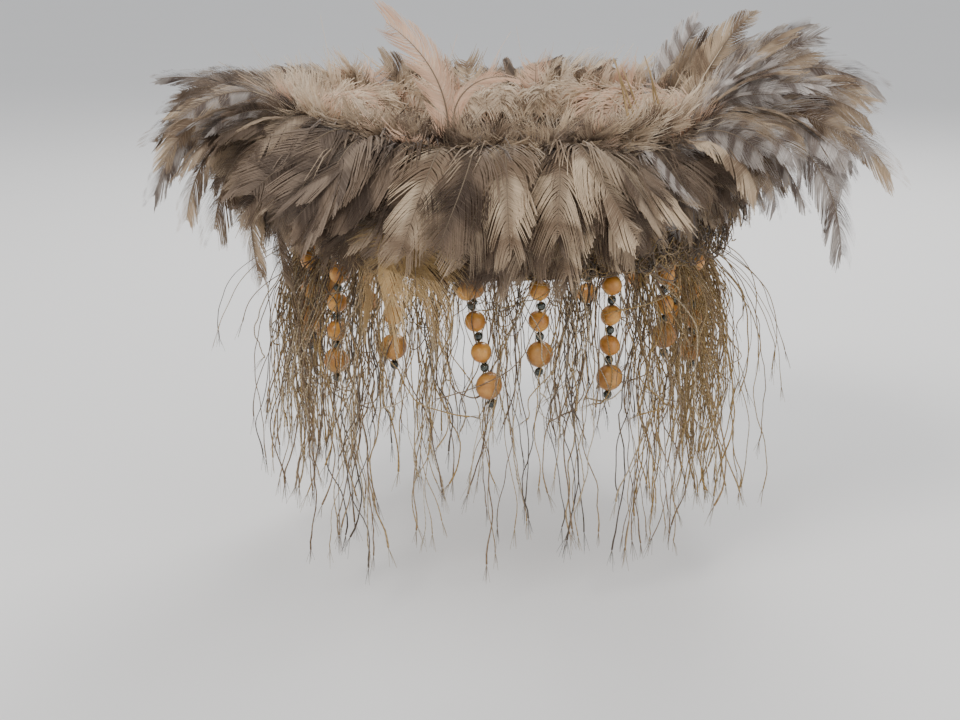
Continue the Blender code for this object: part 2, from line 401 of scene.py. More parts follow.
def hackle_paint():
    paint = Paint("barred_hackle", Sheen_Weight=0.2, Sheen_Roughness=0.4, Specular_IOR_Level=0.3)
    along, stacked = paint.place()
    stacked = stacked * FEATHER_ROWS
    row = stacked.floor()
    across = (stacked - row) * 2 - 1
    side = abs(across)
    barb = along - side * BARB_SLANT
    share = (row + 0.5) * (1 / FEATHER_ROWS)
    blotch = paint.noise(paint.vector(barb * 3.2, across * 0.8, row * 3.7), 1.0)
    streak = paint.noise(paint.vector(barb * STREAKS, row * 5.3, side * 1.5), 1.0, 1.0).ease(0.3, 0.7)
    count = paint.pick(share, grey(BAR_COUNTS)) * MOST_BARS
    bars = ((barb * count + blotch * 0.9 + row * 0.37).wave() + blotch * 0.6 - 0.3).ease(-0.35, 0.6)
    bars = bars * along.ease(0.05, 0.25) * (1 - side**3 * 0.5)
    near_shaft = 1 - side.ease(0.02, 0.22)
    pale = paint.pick(share, PALE_COLOURS * VARIANTS)
    dark = paint.pick(share, DARK_COLOURS * VARIANTS)
    strength = paint.pick(share, grey(BAR_STRENGTHS))
    colour = paint.mix(bars * strength, pale, dark)
    colour = paint.mix(near_shaft * strength * 0.7, colour, dark)
    colour = paint.mix(streak * 0.3, colour, dark)
    # painted highlights: fine pale lines along the barbs where the streak noise is low
    colour = paint.mix((1 - streak.ease(0.0, 0.35)) * 0.3, colour, pale)
    colour = paint.mix(along.ease(0.86, 1.0) * 0.4, colour, pale)
    paint.paint(Base_Color=colour, Roughness=0.5 + streak * 0.3)
    paint.bump(streak, 0.0002, 0.4)
    paint.let_light_through(WEB_GLOW, colour)
    return paint


hackle = hackle_paint()
print("hackle material nodes", len(hackle.tree.nodes))

# %% [markdown]
# ## One feather
#
# A feather is a curved shaft with barbs on both sides. The barbs lie on an imaginary sheet, the vane,
# that follows the shaft, bows down towards its edges and twists a little. Each barb leaves the shaft
# at a wide angle near the quill and at a narrow one near the tip, and neighbouring barbs cling
# together in tufts, which opens the splits that make a real hackle look soft. Near the quill the barbs
# are loose down. Working in vane coordinates, a distance along the shaft and a distance from it, keeps
# this simple: the barbs are laid out flat and then mapped to the curved sheet.

# %% Feather functions
SPINE_STEPS = 22
BARB_STEPS = 5
BARB_ANGLES = (40, 17)  # between a barb and the shaft at the quill and at the tip, in degrees
BARB_SWEEP = 1.45
BARB_WIDTH = 0.85  # of the spacing between barbs, at the shaft
BEND_ONSET = 1.5  # how long a shaft stays straight before it turns down
RIDGE = 0.00008  # how far one edge of a barb lies over its neighbour
TUFT_BREAKS = 0.07  # the chance that a split opens between a barb and the next
TUFT_PULL = 0.4
TUFT_LIFT = 0.0007
BARE_QUILL = 0.04  # the share of the shaft below its first barb
SHAFT_RADIUS = 0.00036
SHAFT_TIP_RADIUS = 0.00005


def spine(root, azimuth, length, launch, fall, firmness, lean=0.0, twist=0.0, roll=0.0, sweep=0.0):
    """A shaft's points and its vane's normals. It leaves root at the pitch launch, in degrees, and turns
    down by fall degrees, mostly within the share firmness of its length. Its heading turns by lean degrees,
    and sweep slants what hangs down along the ring. roll turns the whole vane about the shaft, and twist
    turns it more and more towards the tip."""
    share = np.linspace(0, 1, SPINE_STEPS)
    pitch = np.radians(launch - fall * (1 - np.exp(-((share / firmness) ** BEND_ONSET))))
    heading = azimuth + np.radians(lean) * share
    out = on_ring(heading, 1.0, 0.0)
    up = np.array([0.0, 0.0, 1.0])
    along = np.cos(pitch)[:, None] * out + np.sin(pitch)[:, None] * up
    normal = -np.sin(pitch)[:, None] * out + np.cos(pitch)[:, None] * up
    round_way = np.array([math.cos(azimuth), math.sin(azimuth), 0.0])
    along = unit(along + (sweep * ease(share, 0.15, 0.8))[:, None] * round_way)
    normal = unit(normal - along * np.sum(normal * along, axis=1, keepdims=True))
    step = (along[1:] + along[:-1]) / 2 * length / (SPINE_STEPS - 1)
    points = root + np.concatenate([np.zeros((1, 3)), np.cumsum(step, axis=0)])
    across = unit(np.cross(along, normal))
    spin = np.radians(roll + twist * share)[:, None]
    normal = normal * np.cos(spin) + across * np.sin(spin)
    return points, along, normal


def outline(share, fullness):
    """A hackle's half width along its length, as a share of the widest: full early, pointed late."""
    rise = ease(share, 0.0, 0.22) * 0.45 + 0.55
    taper = np.clip(1 - share, 0, 1) ** fullness
    return rise * taper / 0.86


def add_feather(pile, curve, length, half_width, row, rng, barbs=80, fullness=0.62, down=0.22, bow=7.0):
    """Adds a shaft and its barbs. down is the share of the length with loose fluff."""
    points, along, normal = curve
    row = row + COLOURINGS * rng.integers(VARIANTS)
    both = 2 * barbs
    stations = BARE_QUILL + (1 - BARE_QUILL) * (np.arange(barbs) + rng.uniform(-0.3, 0.3, barbs)) / barbs
    stations = np.concatenate([stations, stations])
    side = np.repeat([-1.0, 1.0], barbs)
    tufts = np.cumsum(np.append(0, rng.random(both - 1) < TUFT_BREAKS))
    centres = np.array([stations[tufts == tuft].mean() for tuft in range(tufts[-1] + 1)])[tufts]
    tuft_reach = rng.uniform(0.94, 1.05, tufts[-1] + 1)[tufts]
    tuft_lift = rng.normal(0, 1.0, tufts[-1] + 1)[tufts]
    fluff = 1 - ease(stations, down * 0.4, down * 1.5)
    ragged = rng.uniform(-1, 1, both) * (0.03 + 0.10 * fluff)
    reach = half_width * outline(stations, fullness) * tuft_reach * (1 + ragged)
    reach = np.maximum(reach, half_width * 0.05)
    slope = BARB_ANGLES[0] + (BARB_ANGLES[1] - BARB_ANGLES[0]) * stations + rng.normal(0, 1.3, both)
    slope = np.radians(np.clip(slope + fluff * (20 + rng.normal(0, 12, both)), 14, 86))
    t = np.linspace(0, 1, BARB_STEPS)[None, :]
    ahead = reach[:, None] / np.tan(slope)[:, None] * t**BARB_SWEEP / length
    pull = (centres - stations)[:, None] * TUFT_PULL * t**2
    s = stations[:, None] + ahead + pull
    v = side[:, None] * reach[:, None] * t**0.92
    width = length / barbs * BARB_WIDTH * (1 - 0.78 * t**1.3) * np.sin(slope)[:, None]
    edge = np.array([-1.0, 1.0])[None, None, :]
    s = s[:, :, None] + edge * (width * np.sin(slope)[:, None])[:, :, None] / length
    v = v[:, :, None] - edge * (width * np.cos(slope)[:, None] * side[:, None])[:, :, None]
    wave = fluff[:, None] * reach[:, None] * 0.3 * np.sin(t * 4 + rng.uniform(0, 6.3, (both, 1))) * t
    lift = wave + tuft_lift[:, None] * TUFT_LIFT * t**2 + rng.normal(0, 0.0003, (both, 1)) * t**2
    lift = lift[:, :, None] + edge * RIDGE - bow * v**2
    position = np.clip(s, 0, 1) * (SPINE_STEPS - 1)
    low = np.clip(position.astype(int), 0, SPINE_STEPS - 2)
    part = (position - low)[..., None]
    centre = points[low] * (1 - part) + points[low + 1] * part
    centre = centre + np.maximum(s - 1, 0)[..., None] * length * along[-1]
    facing = unit(normal[low] * (1 - part) + normal[low + 1] * part)
    sideways = np.cross(along[low] * (1 - part) + along[low + 1] * part, facing)
    mesh_points = centre + sideways * v[..., None] + facing * lift[..., None]
    share = 0.5 + 0.5 * np.clip(v / (half_width * 1.12), -1, 1)
    places = np.stack([np.clip(s, 0, 1) * 0.96 + 0.02, row_place(row, share, FEATHER_ROWS)], -1)
    pile.add(mesh_points, grid_faces(both, BARB_STEPS, 2), places)
    radii = SHAFT_RADIUS * (1 - np.linspace(0, 1, SPINE_STEPS)) ** 0.8 + SHAFT_TIP_RADIUS
    add_tubes(pile, points[None], radii[None], 5, [SHAFT], FEATHER_ROWS)


# %% [markdown]
# ## The swag of hackles over the heading
#
# The quills are sewn to the tape inside, so each feather starts beside it, rises over the cord, rolls
# outwards and hangs down outside. Three layers do it: a short one that hugs the band, a middle one and
# a long top one that rolls over both. The roll is lowest at the front and rises towards the sides, and
# the feathers sweep away from the front on both sides. Each twelfth of the ring is one piece, standing
# for the plain clump that the frame holds there.

# %% Hackle swags
TAPE_FACE = 0.0826
SWAGS = 12
LAYERS = (
    # feathers, root height, launch, fall, firmness, length, half width
    (7, 0.030, 74, 165, 0.20, 0.040, 0.0120),
    (9, 0.035, 88, 175, 0.24, 0.052, 0.0130),
    (11, 0.039, 96, 180, 0.29, 0.062, 0.0140),
)
SWEEPS = (
    # degrees round the ring, and how far the feathers there slant sideways as they hang
    (-180, -120, -60, -20, 0, 20, 60, 120, 180),
    (0.0, -0.3, -0.8, -0.75, -0.15, 0.35, 0.55, 0.3, 0.0),
)
FRONT_ROWS = (DARK, DARK, TAUPE, SMOKE, TAN, DARK, TAUPE, SMOKE)
# The low layer's tan and gold rows are partly the hackles' own colours and partly painted warm lamp glow
# through the lowest feathers.
LOW_ROWS = (TAN, GOLD, TAUPE, DARK)
# The cool rows gathered on the right are partly the hackles' own grey and partly painted blue-grey highlight
# on that side.
RIGHT_ROWS = (COOL, TAUPE, SMOKE, DARK, COOL, TAUPE, TAN)
LAYER_STEP = 0.001
RIDGE_RISE = 0.006
SIDE_SHORTER, BACK_SHORTER, HEADING_SHORTER = 0.02, 0.24, 0.45


def ridge_lift(azimuth):
    """How far the roll rises above its lowest place: 0 at the front, 1 from the sides to the back."""
    return ease(np.abs(np.angle(np.exp(1j * azimuth))), math.radians(6), math.radians(62))


def heading_shown(azimuth):
    """1 at the front right, where the feathers are short and the fringe's heading shows."""
    degrees = math.degrees(azimuth)
    return float(ease(degrees, 16, 36) * (1 - ease(degrees, 66, 88)))


def rows_at(azimuth, layer):
    if layer == 0:
        return LOW_ROWS
    return RIGHT_ROWS if math.sin(azimuth) > 0.55 else FRONT_ROWS


def make_swag(index):
    rng = np.random.default_rng(100 + index)
    pile = Pile()
    middle = math.tau * index / SWAGS
    for layer, (count, height, launch, fall, firmness, length, half_width) in enumerate(LAYERS):
        for place in range(count):
            azimuth = middle + math.tau / SWAGS * ((place + rng.uniform(0.2, 0.8)) / count - 0.5)
            azimuth = (azimuth + math.pi) % math.tau - math.pi
            lift = float(ridge_lift(azimuth))
            back = float(ease(abs(azimuth), 1.9, 2.8))
            shorter = SIDE_SHORTER * lift + BACK_SHORTER * back + HEADING_SHORTER * heading_shown(azimuth)
            size = length * rng.uniform(0.85, 1.12) * (1 - shorter)
            root = on_ring(azimuth, TAPE_FACE + LAYER_STEP * layer, height + RIDGE_RISE * lift)
            sweep = np.interp(math.degrees(azimuth), *SWEEPS) + rng.normal(0, 0.28)
            curve = spine(
                root, azimuth, size, launch + rng.normal(0, 5), fall * rng.uniform(0.90, 1.04) - 10 * lift,
                firmness * rng.uniform(0.85, 1.25), rng.normal(0, 14), rng.normal(0, 34), sweep=sweep
            )
            rows = rows_at(azimuth, layer)
            row = rows[rng.integers(len(rows))]
            width = half_width * rng.uniform(0.75, 1.15)
            add_feather(pile, curve, size, width, row, rng, down=0.24)
    node = f"feather_swag_{index + 1:02d}"
    piece = pile.build(f"hackle_swag_{index + 1:02d}", hackle)
    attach(piece, "ring")
    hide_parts(node)
    return piece


swags = [make_swag(index) for index in range(SWAGS)]
print("swags", len(swags), "faces", sum(len(piece.data.polygons) for piece in swags))

# %% [markdown]
# ## The plumes
#
# On each side longer saddle hackles stand out of the roll: on the left they reach out and droop, and
# on the right they fan up and over. Each plume is a fan of feathers between a few chosen curves, and
# the fan is made by walking through them, so that neighbouring feathers almost agree and the plume
# keeps one shape. A few longer feathers stand out of each fan, and those are chosen one by one. A low
# crest closes the back.

# %% Plumes
PLUME_BARBS = 120
LONE_BARBS = 230
FACING = 58  # degrees
SHORT_SHARE = 0.62  # of the full length, for the feathers nearest the front


def between(stops, share):
    """The values a share of the way through the stops."""
    place = share * (len(stops) - 1)
    return [np.interp(place, range(len(stops)), [stop[k] for stop in stops]) for k in range(len(stops[0]))]


def facing_roll(azimuth):
    """The roll that turns the vane of a feather at the side of the ring towards the front."""
    return math.copysign(FACING, math.sin(azimuth)) * abs(math.sin(azimuth)) ** 2


def make_plume(place, azimuths, stops, count, rows, seed, half_width, lone):
    """stops list (length, launch, fall, firmness, lean) from the top of the fan to its foot, and lone lists
    (azimuth in degrees, length, launch, fall, firmness, half width, row) of the feathers that stand out."""
    rng = np.random.default_rng(seed)
    pile = Pile()
    for index in range(count):
        share = (index + rng.uniform(0.1, 0.9)) / count
        length, launch, fall, firmness, lean = between(stops, share)
        azimuth = math.radians(azimuths[0] + (azimuths[1] - azimuths[0]) * rng.random())
        full = SHORT_SHARE + (1 - SHORT_SHARE) * float(ease(abs(azimuth), 0.84, 1.16))
        size = length * rng.uniform(0.86, 1.06) * full
        root = on_ring(azimuth, TAPE_FACE + 0.002, 0.044 + rng.uniform(-0.003, 0.004))
        curve = spine(
            root, azimuth, size, launch + rng.normal(0, 4), fall * rng.uniform(0.93, 1.07), firmness,
            lean + rng.normal(0, 9), rng.normal(0, 22), facing_roll(azimuth) + rng.normal(0, 24)
        )
        row = rows[rng.integers(len(rows))]
        width = half_width * rng.uniform(0.8, 1.15)
        add_feather(pile, curve, size, width, row, rng, barbs=PLUME_BARBS, fullness=0.55, down=0.18)
    for degrees, length, launch, fall, firmness, width, row in lone:
        azimuth = math.radians(degrees)
        root = on_ring(azimuth, TAPE_FACE + 0.002, 0.046)
        curve = spine(root, azimuth, length, launch, fall, firmness, roll=facing_roll(azimuth))
        add_feather(pile, curve, length, width, row, rng, barbs=LONE_BARBS, fullness=0.40, down=0.12)
    piece = pile.build(f"plume_feathers_{place}", hackle)
    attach(piece, "ring")
    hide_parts(f"plume_{place}")
    return piece


LEFT_FAN = (
    (0.056, 56, 82, 0.75, 0),
    (0.059, 54, 100, 0.75, -4),
    (0.066, 55, 130, 0.74, -6),
    (0.076, 58, 166, 0.68, -6),
)
RIGHT_FAN = (
    (0.052, 78, 62, 0.90, 26),
    (0.061, 70, 84, 0.88, 16),
    (0.072, 60, 118, 0.84, 8),
    (0.081, 51, 124, 0.80, 4),
    (0.086, 50, 150, 0.76, 0),
    (0.089, 54, 176, 0.66, 0),
)
LEFT_LONE = (
    (-84, 0.066, 54, 74, 0.70, 0.0050, COOL),
    (-80, 0.067, 44, 104, 0.70, 0.0080, TAUPE),
    (-76, 0.078, 42, 128, 0.62, 0.0080, COOL),
    (-66, 0.073, 40, 138, 0.60, 0.0075, TAN),
    (-60, 0.066, 38, 126, 0.50, 0.0100, TAUPE),
    (-58, 0.078, 34, 134, 0.34, 0.0070, TAN),
    (-52, 0.074, 34, 134, 0.30, 0.0060, TAUPE),
)
RIGHT_LONE = (
    (80, 0.080, 66, 126, 0.80, 0.0100, COOL),
    (76, 0.088, 48, 118, 0.62, 0.0105, TAN),
    (60, 0.094, 40, 141, 0.60, 0.0090, COOL),
    (57, 0.064, 38, 118, 0.60, 0.0050, COOL),
    (70, 0.074, 58, 112, 0.72, 0.0095, TAUPE),
)
RIGHT_BACK_LONE = ((100, 0.068, 70, 82, 0.90, 0.0060, COOL),)
CREST_FAN = ((0.030, 92, 90, 0.7, -14), (0.034, 84, 110, 0.7, 0), (0.030, 92, 90, 0.7, 14))
LEFT_ROWS = (TAUPE, DARK, TAN, TAUPE, COOL, SMOKE)
# The right fans' silver and cool rows are partly the hackles' own grey and partly painted blue-grey highlight
# on that side.
FAN_ROWS = (SILVER, COOL, TAUPE, COOL, TAN, SILVER)
CREST_ROWS = (TAUPE, SMOKE, COOL, TAN)
PLUMES = (
    # place, azimuths, fan, feathers, rows, seed, half width, single feathers
    ("left_front", (-56, -92), LEFT_FAN, 28, LEFT_ROWS, 1, 0.0088, LEFT_LONE),
    ("left_back", (-92, -132), LEFT_FAN, 24, LEFT_ROWS, 2, 0.0092, ()),
    ("right_front", (48, 90), RIGHT_FAN, 30, FAN_ROWS, 3, 0.0105, RIGHT_LONE),
    ("right_back", (90, 132), RIGHT_FAN, 26, FAN_ROWS, 4, 0.0105, RIGHT_BACK_LONE),
    ("back", (146, 214), CREST_FAN, 17, CREST_ROWS, 5, 0.0110, ()),
)
plumes = [make_plume(*plume) for plume in PLUMES]
print("plumes", [len(piece.data.polygons) for piece in plumes])

# %% [markdown]
# ## The upright feather and its thin neighbour
#
# One feather at the front left stands straight up and curls its tip over to the left, and a thin one
# beside it makes a low arch. Two golden ones hang below them, over the threads. They are single feathers,
# so their curves are given one by one.

# %% Upright feather
UPRIGHT_AZIMUTH = math.radians(-15)
TALL_LENGTH, ARCH_LENGTH = 0.057, 0.044
GOLDEN_AZIMUTH = math.radians(-18.5)
GOLDEN_FEATHERS = ((-5, 0.022), (2, 0.026))  # degrees round from there, and lengths


def make_upright():
    rng = np.random.default_rng(6)
    pile = Pile()
    root = on_ring(UPRIGHT_AZIMUTH, 0.0806, 0.046)
    tall = spine(root, math.radians(-92), TALL_LENGTH, 98, 92, 0.88, roll=-58, twist=-45)
    # The upright feather and its arch both take the peach colouring, which is painted lamp glow from inside
    # the ring.
    add_feather(pile, tall, TALL_LENGTH, 0.0070, LAMPLIT_PEACH, rng, barbs=120, fullness=0.26, down=0.10)
    beside = on_ring(UPRIGHT_AZIMUTH + math.radians(4), 0.0806, 0.050)
    arch = spine(beside, math.radians(84), ARCH_LENGTH, 116, 176, 0.80, roll=64)
    add_feather(pile, arch, ARCH_LENGTH, 0.0032, LAMPLIT_PEACH, rng, barbs=90, fullness=0.4, down=0.1)
    for turn, length in GOLDEN_FEATHERS:
        azimuth = GOLDEN_AZIMUTH + math.radians(turn)
        root = on_ring(azimuth, 0.1045, 0.026)
        golden = spine(root, azimuth, length, -50, 38, 0.4, turn * 9, roll=turn * 4)
        add_feather(pile, golden, length, 0.0165, GOLD, rng, barbs=130, fullness=0.36, down=0.6, bow=16)
    piece = pile.build("upright_feather", hackle)
    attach(piece, "ring")
    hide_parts("plume_upright")


make_upright()

# %% [markdown]
# ## Down inside the ring
#
# The quill ends of the hackles carry loose cream down, and it stands up as a soft wall inside the
# roll, which is what shows through the open ring at the back. Short wide feathers that are all fluff
# make it, some standing and some laid back over the tape as a lining. They are lowest at the front, so
# that the front edge stays clean.

# %% Inner down
DOWN_PIECES = 6
DOWN_COUNT = 30
LINING_COUNT = 26
DOWN_WIDTH = 0.0095
BARE_EDGE = (math.radians(41), math.radians(50))  # where the whipping shows
FRONT_DOWN_ROWS = (TAUPE, DARK, SMOKE, TAN)
# The peach rows at the back are painted lamp glow on the inner wall; the cream and tan rows are the down's
# own colours.
BACK_DOWN_ROWS = (CREAM, LAMPLIT_PEACH, CREAM, TAN)


def make_down(index):
    rng = np.random.default_rng(200 + index)
    pile = Pile()
    for place in range(DOWN_COUNT + LINING_COUNT):
        azimuth = math.tau * (index + rng.random()) / DOWN_PIECES
        if BARE_EDGE[0] < azimuth < BARE_EDGE[1]:
            continue
        lift = float(ridge_lift(azimuth))
        rows = BACK_DOWN_ROWS if rng.random() < lift else FRONT_DOWN_ROWS
        row = rows[rng.integers(len(rows))]
        turn = rng.normal(0, 40)
        if place < DOWN_COUNT:
            size = (0.014 + 0.012 * lift) * rng.uniform(0.8, 1.2)
            root = on_ring(azimuth, 0.0835 + rng.uniform(-0.0008, 0.0015), 0.041)
            curve = spine(root, azimuth, size, 94 + rng.normal(0, 9), 60, 0.7, turn, rng.normal(0, 40))
        else:
            size = (0.021 + 0.012 * lift) * rng.uniform(0.85, 1.15)
            root = on_ring(azimuth, 0.0832, 0.046)
            curve = spine(root, azimuth, size, 92, -168, 0.62, turn, rng.normal(0, 30))
        add_feather(pile, curve, size, DOWN_WIDTH, row, rng, barbs=48, fullness=0.35, down=0.9)
    piece = pile.build(f"inner_down_{index + 1}", hackle)
    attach(piece, "ring")


for index in range(DOWN_PIECES):
    make_down(index)

# %% [markdown]
# ## Bare quill ends
#
# Where the heading shows at the front right, a few quills stand up bare above the binding, the colour
# of horn. A thin cone-like tube for each is enough, cut short at its end.

# %% Quill ends
QUILL_AZIMUTHS = (34, 37, 39, 42, 46)
QUILL_RADIUS = 0.00070
QUILL_TAPER = 0.75


def make_quills():
    rng = np.random.default_rng(7)
    pile = Pile()
    share = np.linspace(0, 1, 8)[:, None]
    for degrees in QUILL_AZIMUTHS:
        azimuth = math.radians(degrees)
        foot = on_ring(azimuth, 0.0862, 0.052)
        length = rng.uniform(0.025, 0.032)
        lean = rng.normal(-0.3, 0.16)
        tip = foot + length * np.array([math.cos(azimuth) * lean, math.sin(azimuth) * lean, 1.0])
        path = foot + (tip - foot) * share + on_ring(azimuth, -0.002, 0) * share**2
        radii = QUILL_RADIUS * (1 - QUILL_TAPER * share[:, 0])
        add_tubes(pile, path[None], radii[None], 7, [GOLD], FEATHER_ROWS)
    piece = pile.build("quill_ends", hackle)
    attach(piece, "ring")


make_quills()

# %% [markdown]
# ## Yarn
#
# The fringe is crinkled rayon and cotton yarn in brown, old gold and beige. Each thread is in a row of
# its own colour, and two twisted plies show as a fine slanting stripe, with painted shade in the groove.

# %% Yarn material
YARN_ROWS = 8
BROWN, STRAW, UMBER, BEIGE, BRONZE, WALNUT, ECRU, SOOT = range(YARN_ROWS)
YARN_COLOURS = [
    (0.34, 0.22, 0.10),
    (0.48, 0.33, 0.15),
    (0.19, 0.12, 0.065),
    (0.58, 0.45, 0.28),
    (0.42, 0.27, 0.09),
    (0.28, 0.19, 0.11),
    (0.66, 0.54, 0.38),
    (0.10, 0.075, 0.055),
]
YARN_TWISTS = 46
YARN_GLOW = 0.2
PLY_GROOVE_SHADE = (0.07, 0.045, 0.025)
WORN = (0.72, 0.58, 0.38)


def yarn_paint():
    paint = Paint("fringe_yarn", Sheen_Weight=0.35, Sheen_Roughness=0.35, Specular_IOR_Level=0.4)
    along, stacked = paint.place()
    stacked = stacked * YARN_ROWS
    row = stacked.floor()
    around = stacked - row
    ply = (along * YARN_TWISTS + around).wave().ease(-0.9, 0.6)
    wear = paint.noise(paint.vector(along * 14, row * 2.9, around), 1.0)
    shade = paint.pick((row + 0.5) * (1 / YARN_ROWS), YARN_COLOURS)
    # painted shade: the groove between the two plies is darkened
    colour = paint.mix((1 - ply) * 0.55, shade, PLY_GROOVE_SHADE)
    colour = paint.mix(wear.ease(0.5, 0.75) * 0.35, colour, WORN)
    paint.paint(Base_Color=colour, Roughness=0.55 + wear * 0.3)
    paint.bump(ply, 0.0002, 0.6)
    paint.let_light_through(YARN_GLOW, colour)
    return paint


yarn = yarn_paint()

# %% [markdown]
# ## The thread fringe
#
# Each bunch hangs on its own hinge, so each is one piece: thirty to sixty threads that leave the heading,
# spread out a little from the ring and hang down with a crinkle, some long, some short, a few straying
# sideways and a few looping back into the heading. The crinkle is a sum of waves with random phases.
# Threads pass in front of the bead drops, which hang nearer the ring. Every end is untwisted into a small
# brush of fibres.

# %% Fringe bunches
BUNCHES = 18
THREADS = 28
SIDE_THREADS = 30  # more of them at the sides, where the fringe is thick
THREAD_STEPS = 32
LOOPS = 5
FRAY_FIBRES = 5
FRAY_STEPS = 5
THREAD_RADII = (0.00017, 0.00032)
LOOP_RADII = (0.00016, 0.00026)
FRAY_RADIUS = 0.00011
NECK_CLEARANCE = 0.0806  # no thread comes nearer the neck than this
BEAD_CLEARANCE = 0.0058  # nor nearer the middle of a bead drop than this
HANG_RADIUS, HANG_Z = 0.0835, 0.0027
BEADS_FOOT = -0.053
STRAYS = 0.17  # the share of threads that wander off sideways
GOLDEN_ROWS = (BROWN, STRAW, BRONZE, STRAW)
LOOP_ROWS = (UMBER, WALNUT, BROWN, SOOT)
WAVES = ((0.012, 0.00016), (0.028, 0.0006), (0.075, 0.0034))  # lengths and heights of the crinkle


def crinkle(share, length, rng, count):
    """Sideways offsets (count, steps) of crinkled threads: two short waves and a slow bow."""
    offset = np.zeros((count, len(share)))
    for wavelength, size in WAVES:
        waves = length[:, None] / (wavelength * rng.uniform(0.7, 1.5, (count, 1))) * math.tau
        phase = rng.uniform(0, math.tau, (count, 1))
        size_here = size * rng.uniform(0.3, 1.4, (count, 1))
        offset += size_here * (np.sin(waves * share + phase) - np.sin(phase))
    return offset


def round_the_beads(azimuth, radius, z):
    """The radius at which a thread passes in front of a bead drop instead of through it."""
    spacing = math.tau / BUNCHES
    beside = ((azimuth / spacing) % 1 - 0.5) * spacing * HANG_RADIUS
    inside = np.clip(BEAD_CLEARANCE**2 - beside**2, 0, None)
    front = HANG_RADIUS + np.sqrt(inside) * ease(z, BEADS_FOOT - 0.004, BEADS_FOOT + 0.004)
    return np.where(inside > 0, np.maximum(radius, front), radius)


def hanging_threads(azimuth, drop, count, rng):
    """Paths (count, steps, 3) of the threads of a bunch at azimuth, the longest drop metres long."""
    share = np.linspace(0, 1, THREAD_STEPS)[None, :]
    side = abs(math.sin(azimuth))
    length = drop * (1 - 0.12 * side) * np.clip(rng.beta(2.4, 1.6, count) * 1.16, 0.2, 1.0)
    strays = rng.random(count) < STRAYS
    start = azimuth + np.radians(np.clip(rng.normal(0, 3.2, count), -6, 6) + strays * rng.normal(0, 3, count))
    spread = rng.gamma(2.0, 0.0014 + 0.0040 * side, count)
    drift = np.radians(rng.normal(0, 4.2, count) + strays * rng.normal(0, 15, count))
    radius = 0.0808 + rng.uniform(0, 0.0030, count)[:, None]
    radius = radius + spread[:, None] * (1 - np.exp(-4 * share)) + crinkle(share[0], length, rng, count)
    turn = start[:, None] + drift[:, None] * share + crinkle(share[0], length, rng, count) / 0.085
    z = HANG_Z + rng.uniform(-0.0012, 0.0006, count)[:, None] - length[:, None] * share
    z = z + strays[:, None] * length[:, None] * 0.45 * share**2
    radius = round_the_beads(turn, np.maximum(radius, NECK_CLEARANCE), z)
    return on_ring(turn, radius, z)


def looped_threads(azimuth, count, rng):
    """Paths of threads that sag in an arc and go back into the heading."""
    share = np.linspace(0, 1, THREAD_STEPS)[None, :]
    ends = np.radians(rng.uniform(3.5, 9.0, (count, 2)) * (-1, 1))
    turn = azimuth + ends[:, :1] + (ends[:, 1:] - ends[:, :1]) * share
    sag = rng.uniform(0.011, 0.030, (count, 1)) * (1 - (2 * share - 1) ** 2)
    z = HANG_Z - sag + crinkle(share[0], np.full(count, 0.04), rng, count) * share * (1 - share) * 4
    radius = 0.0826 + rng.uniform(0, 0.0075, (count, 1)) * np.sin(share * math.pi)
    return on_ring(turn, round_the_beads(turn, radius, z), z)


def add_frays(pile, paths, rows_of, rng):
    """A brush of fibres at the end of each thread."""
    count = len(paths)
    tip, before = paths[:, -1], paths[:, -3]
    way = unit(tip - before)
    share = np.linspace(0, 1, FRAY_STEPS)
    spread = rng.normal(0, 0.17, (count, FRAY_FIBRES, 3))
    length = rng.uniform(0.003, 0.008, (count, FRAY_FIBRES, 1, 1))
    aim = unit(way[:, None] + spread)[:, :, None]
    sag = np.array([0, 0, -0.0012]) * share[:, None] ** 2
    fibres = tip[:, None, None] + aim * length * share[:, None] + sag
    radii = FRAY_RADIUS * (1 - 0.5 * share)
    fibres = fibres.reshape(-1, FRAY_STEPS, 3)
    add_tubes(pile, fibres, radii[None], 3, np.repeat(rows_of, FRAY_FIBRES), YARN_ROWS)


def goldenness(azimuth):
    """How many of a bunch's threads keep to the golden rows: nearly all at the right side, none elsewhere."""
    degrees = math.degrees(azimuth)
    return ease(degrees, 30, 60) * (1 - ease(degrees, 110, 150))


def make_bunch(index):
    rng = np.random.default_rng(300 + index)
    azimuth = math.tau * index / BUNCHES
    node = f"fringe_bunch_{index + 1:02d}"
    low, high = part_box(node)
    count = THREADS + int(SIDE_THREADS * abs(math.sin(azimuth)))
    pile = Pile()
    paths = hanging_threads(azimuth, high[2] - low[2], count, rng)
    golden = rng.random(count) < goldenness(azimuth)
    rows_of = np.where(golden, rng.choice(GOLDEN_ROWS, count), rng.integers(0, YARN_ROWS, count))
    share = np.linspace(0, 1, THREAD_STEPS)
    radii = rng.uniform(*THREAD_RADII, (count, 1)) * (1 + 0.5 * ease(share, 0.88, 1.0))[None]
    add_tubes(pile, paths, radii, 4, rows_of, YARN_ROWS)
    add_frays(pile, paths, rows_of, rng)
    loops = looped_threads(azimuth, LOOPS, rng)
    loop_radii = rng.uniform(*LOOP_RADII, (LOOPS, 1))
    add_tubes(pile, loops, loop_radii, 4, rng.choice(LOOP_ROWS, LOOPS), YARN_ROWS)
    piece = pile.build(f"thread_bunch_{index + 1:02d}", yarn)
    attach(piece, node)
    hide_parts(node)
    return piece


bunches = [make_bunch(index) for index in range(BUNCHES)]
print("bunches", len(bunches), "faces", sum(len(piece.data.polygons) for piece in bunches))

# %% [markdown]
# ## The fringe's heading
#
# The threads come out of a woven gimp: rows of twisted yarn laid round the band. Over it lies a mat of
# curled loose ends, dark with glints of gold, which is what shows below the feathers. The rows are
# closed helices of yarn, and the mat is many short curls that wander near the heading.

